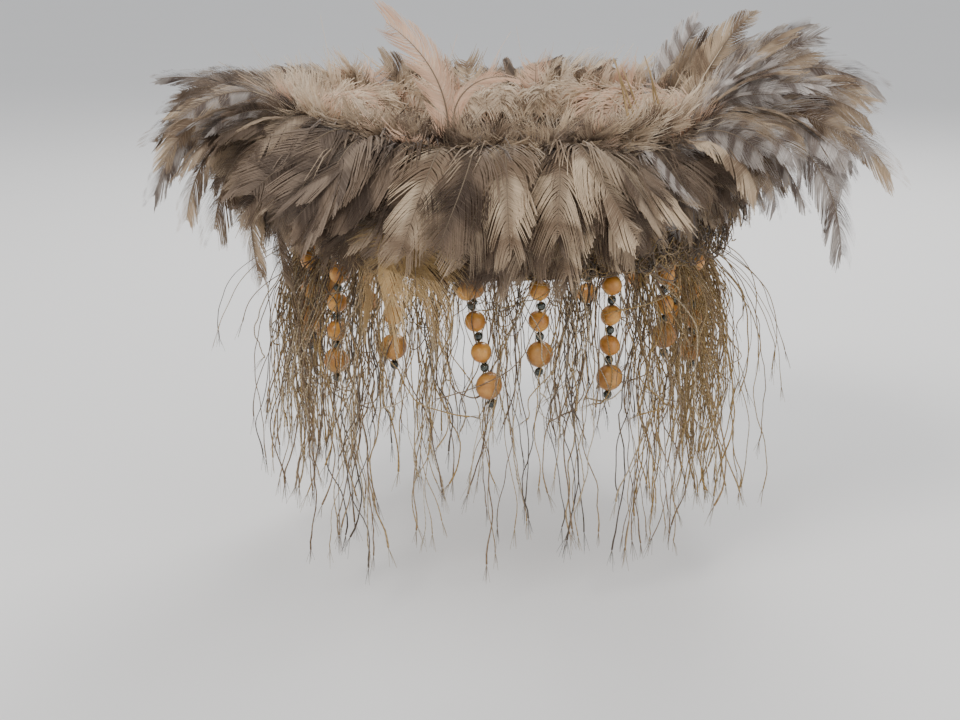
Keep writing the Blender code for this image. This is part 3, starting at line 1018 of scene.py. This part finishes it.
# %% Gimp and tangle
GIMP_ROWS = 5
GIMP_PLIES = 2
GIMP_STEPS = 540
GIMP_TURNS = 90
GIMP_TWIST_RADIUS = 0.00065
GIMP_YARN_RADIUS = 0.00075
SEWN_GAP = 0.0003
CURLS = 900
CURL_STEPS = 28
CROWDED = 0.42  # the share of curls that gather where the heading shows
TANGLE_HEIGHTS = (0.0038, 0.018)
TANGLE_INSIDE = 0.0832
TANGLE_ROWS = (SOOT, UMBER, WALNUT, SOOT, STRAW, UMBER, BRONZE, BROWN)


def make_gimp():
    low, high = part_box("fringe_braid")
    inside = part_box("backing_band")[1][0] + SEWN_GAP
    middle = (inside + high[0]) / 2
    pitch = (high[2] - low[2]) / GIMP_ROWS
    pile = Pile()
    turn = np.arange(GIMP_STEPS) / GIMP_STEPS * math.tau
    for row in range(GIMP_ROWS):
        for ply in range(GIMP_PLIES):
            twist = turn * GIMP_TURNS + math.tau * ply / GIMP_PLIES
            radius = middle + GIMP_TWIST_RADIUS * np.cos(twist)
            z = low[2] + pitch * (row + 0.5) + GIMP_TWIST_RADIUS * np.sin(twist)
            path = on_ring(turn, radius, z)[None]
            shade = (row + 3 * ply) % YARN_ROWS
            add_tubes(pile, path, np.array([[GIMP_YARN_RADIUS]]), 6, [shade], YARN_ROWS, closed=True)
    piece = pile.build("fringe_gimp", yarn)
    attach(piece, "ring")
    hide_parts("fringe_braid")
    return piece


def make_tangle():
    rng = np.random.default_rng(8)
    azimuth = rng.uniform(0, math.tau, CURLS)
    crowded = rng.random(CURLS) < CROWDED
    azimuth = np.where(crowded, np.radians(rng.normal(42, 20, CURLS)), azimuth)
    z = rng.uniform(*TANGLE_HEIGHTS, CURLS)
    radius = 0.0835 + rng.gamma(2.0, 0.0024, CURLS)
    heading = rng.uniform(0, math.tau, CURLS)
    turning = rng.normal(0, 0.22, CURLS)
    step = rng.uniform(0.0011, 0.0019, CURLS)
    paths = np.empty((CURLS, CURL_STEPS, 3))
    for index in range(CURL_STEPS):
        paths[:, index] = on_ring(azimuth, radius, z)
        turning = np.clip(turning + rng.normal(0, 0.13, CURLS), -0.6, 0.6)
        heading = heading + turning
        azimuth = azimuth + step * np.cos(heading) / 0.086
        z = z + step * np.sin(heading)
        z = z + 0.6 * (np.clip(z, *TANGLE_HEIGHTS) - z)
        radius = np.maximum(radius + rng.normal(0, 0.0004, CURLS), TANGLE_INSIDE)
    pile = Pile()
    rows_of = rng.choice(TANGLE_ROWS, CURLS)
    radii = rng.uniform(0.00014, 0.00027, (CURLS, 1))
    add_tubes(pile, paths, np.broadcast_to(radii, (CURLS, CURL_STEPS)), 4, rows_of, YARN_ROWS)
    piece = pile.build("fringe_tangle", yarn)
    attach(piece, "ring")
    return piece


gimp = make_gimp()
tangle = make_tangle()
print("heading faces", len(gimp.data.polygons), len(tangle.data.polygons))

# %% [markdown]
# ## Beads
#
# The beads are turned from honey-coloured resin that looks like old amber: cloudy, darker round the
# drill holes, satin on the outside. A real bead has a hole right through it, so each is an outline
# turned all the way round and joined to the wall of its hole, and none is perfectly round.

# %% Bead and glass materials
def amber_paint():
    paint = Paint("honey_amber", roughness=0.32, Coat_Weight=0.25, Coat_Roughness=0.2, Subsurface_Weight=0.12)
    paint.shader.inputs["Subsurface Radius"].default_value = (0.004, 0.002, 0.0008)
    paint.shader.inputs["Subsurface Scale"].default_value = 0.5
    spot = paint.node("ShaderNodeTexCoord", output=3)
    cloud = paint.noise(spot, 190, 4.0)
    vein = abs(paint.noise(spot, 420, 5.0) - 0.5).ease(0.0, 0.05)
    tile, pole = paint.place()
    drilled = abs(pole * 2 - 1).ease(0.72, 0.98)
    colour = paint.mix(cloud.ease(0.35, 0.68), (0.47, 0.19, 0.03), (0.69, 0.35, 0.075))
    colour = paint.mix((1 - vein) * 0.35, colour, (0.36, 0.15, 0.03))
    colour = paint.mix(drilled * 0.75, colour, (0.17, 0.075, 0.02))
    colour = paint.mix(tile.ease(0.70, 0.76) * 0.42, colour, (0.27, 0.125, 0.035))
    paint.paint(Base_Color=colour, Roughness=0.26 + cloud * 0.25)
    paint.bump(cloud, 0.0002, 0.35)
    return paint


def glass_paint():
    coat = {"Coat_Weight": 0.6, "Coat_Roughness": 0.03}
    paint = Paint("smoky_glass", roughness=0.05, Transmission_Weight=0.35, IOR=1.52, **coat)
    spot = paint.node("ShaderNodeTexCoord", output=3)
    swirl = paint.noise(spot, 500, 2.0)
    colour = paint.mix(swirl.ease(0.4, 0.7), (0.020, 0.030, 0.024), (0.085, 0.105, 0.080))
    paint.paint(Base_Color=colour)
    return paint


amber = amber_paint()
glass = glass_paint()

# %% [markdown]
# ## Bead drops
#
# A drop is a waxed thread knotted in the heading, two or three round beads with a small faceted glass
# bead after each, a larger end bead and a last glass bead with the knot below it. Each drop swings on
# its own hinge, so its thread, beads and glass ride on that body. They hang from the hinge's own
# place, which the frame gives.

# %% Bead drops
DROPS = 18
BEAD_RADIUS = 0.0040
END_BEAD_RADIUS = 0.0051
GLASS_RADIUS = 0.00175
GLASS_LENGTH = 0.0032
BEAD_GAP = 0.0003
THREAD_LEAD = 0.0015
BEAD_SIDES = 32
BEAD_STEPS = 20
GLASS_SIDES = 8
HOLE_SHARE = 0.16
DROP_THREAD_RADIUS = 0.00030
KNOT_END_RADIUS = 0.00022
SLANTS = {17: 0.24, 15: -0.10}  # the drops that hang askew, as sideways over downwards


def bead_profile(radius, steps):
    """A bead's outline from the lip of its hole at the top, round the outside and back up the hole."""
    lip = math.asin(HOLE_SHARE)
    angles = np.linspace(lip, math.pi - lip, steps)
    outside = np.stack([radius * np.sin(angles), radius * np.cos(angles)], -1)
    hole = radius * HOLE_SHARE * 0.8
    top = radius * math.cos(lip) * 0.97
    return np.concatenate([outside, [[hole, -top], [hole, 0.0], [hole, top]]])


def glass_profile():
    """A faceted rondelle's outline: a short chamfered barrel with a hole."""
    outside = [(0.5, 0.5), (0.95, 0.24), (1.0, 0.0), (0.95, -0.24), (0.5, -0.5)]
    points = np.array(outside) * (GLASS_RADIUS, GLASS_LENGTH)
    hole = [(GLASS_RADIUS * 0.32, -GLASS_LENGTH * 0.46), (GLASS_RADIUS * 0.32, GLASS_LENGTH * 0.46)]
    return np.concatenate([points, hole])


def add_turned(pile, profile, sides, centre, tilt, tile, tiles, wobble):
    """Turns an outline of (radius, height) points about its own axis, tilted, in its own tile."""
    turn = np.arange(sides) / sides * math.tau
    uneven = 1 + wobble * np.sin(2 * turn + tilt[0] * 40)
    x = profile[:, 0, None] * np.cos(turn) * uneven
    y = profile[:, 0, None] * np.sin(turn) * uneven
    z = np.broadcast_to(profile[:, 1, None], x.shape) + x * tilt[0] + y * tilt[1]
    points = np.stack([x, y, z], -1) + centre
    u = (tile + 0.05 + 0.9 * turn / math.tau) / tiles
    v = np.linspace(0.02, 0.98, len(profile))
    u, v = np.broadcast_arrays(u[None, :], v[:, None])
    faces = grid_faces(1, len(profile), sides, round_across=True, round_along=True)[:, ::-1]
    pile.add(points, faces, np.stack([u, v], -1))


def stepped_path(points, steps):
    """A path along the straight lines between the points, with as many steps in each."""
    place = np.linspace(0, len(points) - 1, steps)
    return np.stack([np.interp(place, range(len(points)), points[:, k]) for k in range(3)], -1)


def add_knot(pile, centre, size, rng):
    """A small overhand knot: a loop that passes through itself, and two short ends."""
    turn = np.linspace(0, math.tau, 26)
    knot = np.stack(
        [np.sin(turn) + 2 * np.sin(2 * turn), np.cos(turn) - 2 * np.cos(2 * turn), -np.sin(3 * turn)], -1
    )
    add_tubes(pile, (centre + knot * size * 0.36)[None], np.array([[size * 0.42]]), 6, [ECRU], YARN_ROWS)
    for _ in range(2):
        way = unit(np.array([*rng.normal(0, 0.4, 2), -1.0]))
        path = centre + way * np.linspace(0, 1, 6)[:, None] * rng.uniform(0.003, 0.006)
        add_tubes(pile, path[None], np.array([[KNOT_END_RADIUS]]), 5, [ECRU], YARN_ROWS)


def make_drop(index):
    rng = np.random.default_rng(400 + index)
    node = f"bead_drop_{index + 1:02d}"
    head = np.array(joints[node]["pos_m"])
    beads = 2 if index % 2 == 0 else 3
    radii = [BEAD_RADIUS] * beads + [END_BEAD_RADIUS]
    tiles = len(radii)
    amber_pile, glass_pile, thread_pile = Pile(), Pile(), Pile()
    spots = [head + (0, 0, 0.0018), head]
    z = head[2] - THREAD_LEAD
    round_way = np.array([-head[1], head[0]]) / HANG_RADIUS
    slant = SLANTS.get(index, rng.normal(0, 0.02))

    def at(height, shift):
        place = head[:2] + round_way * slant * (head[2] - height) + shift
        return np.array([*place, height])

    for place, radius in enumerate(radii):
        shift = rng.normal(0, 0.00025, 2)
        centre = at(z - radius, shift)
        tilt = rng.normal(0, 0.06, 2)
        wobble = rng.uniform(0.005, 0.02)
        profile = bead_profile(radius, BEAD_STEPS)
        add_turned(amber_pile, profile, BEAD_SIDES, centre, tilt, place, tiles, wobble)
        spots.append(centre)
        z -= 2 * radius + BEAD_GAP
        centre = at(z - GLASS_LENGTH / 2, shift[::-1])
        tilt = rng.normal(0, 0.10, 2)
        add_turned(glass_pile, glass_profile(), GLASS_SIDES, centre, tilt, place, tiles, 0.0)
        spots.append(centre)
        z -= GLASS_LENGTH + BEAD_GAP
    last = spots[-1]
    path = stepped_path(np.array(spots), 40)
    add_tubes(thread_pile, path[None], np.array([[DROP_THREAD_RADIUS]]), 6, [ECRU], YARN_ROWS)
    add_knot(thread_pile, last - (0, 0, GLASS_LENGTH / 2), 0.0007, rng)
    add_knot(thread_pile, head + (0, 0, 0.0006), 0.0009, rng)
    for name, pile, paint, smooth in (
        ("beads", amber_pile, amber, True),
        ("glass", glass_pile, glass, False),
        ("thread", thread_pile, yarn, True),
    ):
        piece = pile.build(f"drop_{name}_{index + 1:02d}", paint, smooth)
        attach(piece, node)
        if name == "beads":
            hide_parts(node)


for index in range(DROPS):
    make_drop(index)
print("drops", DROPS)

# %% [markdown]
# ## Ribbon band, tape and lap
#
# The band is grosgrain ribbon: fine ribs across its width, hardly any shine, and a rounder selvedge at
# both edges. It was cut flat and sewn into a ring. The quill tape is a second ribbon over it. The
# stitches are left out.

# %% Ribbon material and rings
RIBS_ROUND = 620
RING_SEGMENTS = 240
RIBBONS = {
    # thickness and middle radius
    "backing_band": (0.0012, 0.0786),
    "quill_tape": (0.0014, 0.0802),
    "tape_lap": (0.0010, 0.0817),
}


def ribbon_paint(name, shade, valley_shade):
    paint = Paint(name, Sheen_Weight=0.3, Sheen_Roughness=0.5, Specular_IOR_Level=0.25)
    around, height = paint.place()
    rib = (around * RIBS_ROUND).wave().ease(-0.8, 0.8)
    weft = (height * 60).wave().ease(-1.0, 0.7)
    age = paint.noise(paint.vector(around * 30, height * 3), 1.0, 4.0)
    # painted shade: the valleys between the ribs and between the weft rows are darkened towards the second
    # colour
    colour = paint.mix((1 - rib) * 0.6, shade, valley_shade)
    colour = paint.mix((1 - weft) * 0.25, colour, valley_shade)
    colour = paint.mix(age.ease(0.5, 0.8) * 0.35, colour, (0.42, 0.34, 0.26))
    paint.paint(Base_Color=colour, Roughness=0.75 + rib * 0.15)
    paint.bump(rib + weft * 0.4, 0.00025, 0.7)
    return paint


# the second colour is the painted shade of the rib valleys
ribbon = ribbon_paint("grosgrain_ribbon", (0.17, 0.125, 0.09), (0.06, 0.042, 0.03))


def ribbon_profile(thickness, height):
    """A ribbon's section, up its outside and down its inside: thicker along both selvedges."""
    levels = np.array([0, 0.012, 0.05, 0.1, 0.5, 0.9, 0.95, 0.988, 1.0])
    bulge = np.array([0.3, 0.95, 1.0, 0.7, 0.7, 0.7, 1.0, 0.95, 0.3])
    outside = np.stack([bulge * thickness / 2, levels * height], -1)
    inside = np.stack([-bulge * thickness / 2, levels * height], -1)[::-1]
    return np.concatenate([outside, inside])


def end_faces(across, line):
    """Closes a ribbon's cut end: each face joins two outside points to the two inside ones."""
    k = np.arange(across // 2 - 1)
    return line * across + np.stack([k, across - 1 - k, across - 2 - k, k + 1], -1)[:, ::-1]


def make_ribbon(name, node, start=0.0, sweep=math.tau):
    low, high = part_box(node)
    height = high[2] - low[2]
    thickness, middle = RIBBONS[node]
    profile = ribbon_profile(thickness, height)
    whole = sweep >= math.tau
    segments = max(int(RING_SEGMENTS * sweep / math.tau), 24)
    turn = start + sweep * np.arange(segments) / (segments if whole else segments - 1)
    pucker = 0.00012 * np.sin(turn * 36)
    radius = middle + profile[None, :, 0] + pucker[:, None]
    points = on_ring(turn[:, None], radius, low[2] + profile[None, :, 1])
    across = len(profile)
    u = turn / math.tau * 0.98 + 0.01
    u, v = np.broadcast_arrays(u[:, None], np.linspace(0.02, 0.98, across)[None])
    faces = grid_faces(1, segments, across, round_across=True, round_along=whole)
    if not whole:
        ends = [end_faces(across, 0), end_faces(across, segments - 1)[:, ::-1]]
        faces = np.concatenate([faces, *ends])
    pile = Pile()
    pile.add(points, faces, np.stack([u, v], -1))
    piece = pile.build(name, ribbon)
    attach(piece, "ring")
    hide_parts(node)
    return piece


# %% Ribbon rings
make_ribbon("ribbon_band", "backing_band")
make_ribbon("quill_tape_ribbon", "quill_tape")
LAP_SWEEP = math.radians(26)
make_ribbon("lap_ribbon", "tape_lap", math.pi - LAP_SWEEP / 2, LAP_SWEEP)

# %% [markdown]
# ## Rope and whipping
#
# The core inside the roll is a three-strand cotton cord, and waxed thread whips it to the band's edge
# all the way round. The strands are closed helices. The whipping is one long coil with a hand's
# unevenness in its spacing. The round coil meets its own start, so it's a closed tube too.

# %% Cord and whipping
CORD_STRANDS = 3
CORD_TWISTS = 52
CORD_STEPS = 832
WHIP_TURNS = 150
WHIP_STEPS = 14
WHIP_RADIUS = 0.0004


def cotton_paint():
    paint = Paint("cotton_cord", Sheen_Weight=0.2, Specular_IOR_Level=0.3)
    along, around = paint.place()
    fibre = paint.noise(paint.vector(along * 900, around * 9), 1.0, 3.0)
    colour = paint.mix(fibre.ease(0.35, 0.7), (0.34, 0.25, 0.16), (0.60, 0.48, 0.33))
    paint.paint(Base_Color=colour, Roughness=0.7 + fibre * 0.2)
    paint.bump(fibre, 0.0002, 0.6)
    return paint


def coil_middle():
    """The middle of the whipping's cross-section: radius and height, and the coil's own radius."""
    low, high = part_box("core_cord")
    cord_radius = (high[2] - low[2]) / 2
    return (high[0] + low[0]) / 2 + high[0] - cord_radius, (high[2] + low[2]) / 2, cord_radius


def make_cord(cotton):
    radius, height, cord_radius = coil_middle()
    turn = np.arange(CORD_STEPS) / CORD_STEPS * math.tau
    pile = Pile()
    for strand in range(CORD_STRANDS):
        twist = turn * CORD_TWISTS + math.tau * strand / CORD_STRANDS
        offset = cord_radius * 0.50
        path = on_ring(turn, radius + offset * np.cos(twist), height + offset * np.sin(twist))
        add_tubes(pile, path[None], np.array([[cord_radius * 0.5]]), 8, [strand], CORD_STRANDS, closed=True)
    piece = pile.build("core_rope", cotton)
    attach(piece, "ring")
    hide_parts("core_cord")


def make_whipping():
    rng = np.random.default_rng(9)
    radius, height, cord_radius = coil_middle()
    coil = cord_radius + 2 * WHIP_RADIUS
    steps = WHIP_TURNS * WHIP_STEPS
    share = np.arange(steps) / steps
    twist = share * math.tau * WHIP_TURNS
    uneven = rng.normal(0, 0.15, WHIP_TURNS)
    slack = np.interp(share * WHIP_TURNS, range(WHIP_TURNS), uneven) * np.sin(share * math.pi)
    turn = share * math.tau + slack * math.tau / WHIP_TURNS
    path = on_ring(turn, radius + coil * np.cos(twist), height + coil * np.sin(twist))
    pile = Pile()
    add_tubes(pile, path[None], np.array([[WHIP_RADIUS]]), 5, [ECRU], YARN_ROWS, closed=True)
    piece = pile.build("whipping_coil", yarn)
    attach(piece, "ring")
    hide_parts("binding_thread")


make_cord(cotton_paint())
make_whipping()

# %% [markdown]
# ## Floor and light
#
# A wide pale floor lies below the boa, and soft lights stand round it: a large one high at the front
# left, a weaker one at the right and one behind to edge the feathers. The boa hangs clear of the
# floor, as it would on a display stand, so the floor is set just below the longest thread.

# %% Stage
FLOOR_Z = -0.131
FLOOR_RADIUS = 12.0


def make_stage():
    paint = Paint("pale_stage", roughness=0.9)
    spot = paint.node("ShaderNodeTexCoord", output=3)
    paint.paint(Base_Color=paint.mix(paint.noise(spot, 6) * 0.2, (0.80, 0.80, 0.80), (0.72, 0.72, 0.73)))
    turn = np.arange(64) / 64 * math.tau
    points = on_ring(turn[:, None], np.array([FLOOR_RADIUS, 0.0001])[None], FLOOR_Z)
    pile = Pile()
    pile.add(points, grid_faces(1, 64, 2, round_along=True), np.zeros((64, 2, 2)))
    return pile.build("stage_floor", paint, smooth=False)


def add_light(name, place, size, watts, colour):
    data = bpy.data.lights.new(name, "AREA")
    data.shape = "DISK"
    data.size = size
    data.energy = watts
    data.color = colour
    light = bpy.data.objects.new(name, data)
    light.location = place
    light.rotation_euler = (Vector((0, 0, 0)) - light.location).to_track_quat("-Z", "Y").to_euler()
    bpy.context.scene.collection.objects.link(light)
    return light


make_stage()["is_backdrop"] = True
LIGHTS = (
    ("key_light", (-0.60, -0.90, 1.15), 0.6, 16, (1.0, 0.96, 0.91)),
    ("fill_light", (0.95, -0.75, 0.40), 0.9, 4, (1.0, 0.98, 0.96)),
    ("rim_light", (0.25, 1.0, 0.95), 0.6, 12, (1.0, 0.98, 0.95)),
)
for light in LIGHTS:
    add_light(*light)

world = bpy.data.worlds.new("pale_world")
world.use_nodes = True
background = world.node_tree.nodes["Background"]
background.inputs["Color"].default_value = (0.97, 0.98, 1.0, 1)
background.inputs["Strength"].default_value = 0.8
bpy.context.scene.world = world

# %% [markdown]
# ## Sizes, and the end
#
# The looks have to stay close to the frame, so both boxes are printed.

# %% Write the sizes and finish
visual_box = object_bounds()
for name, box in (("cad", cad_box), ("visual", visual_box)):
    print(name, [[round(value * 1000, 1) for value in corner] for corner in box])
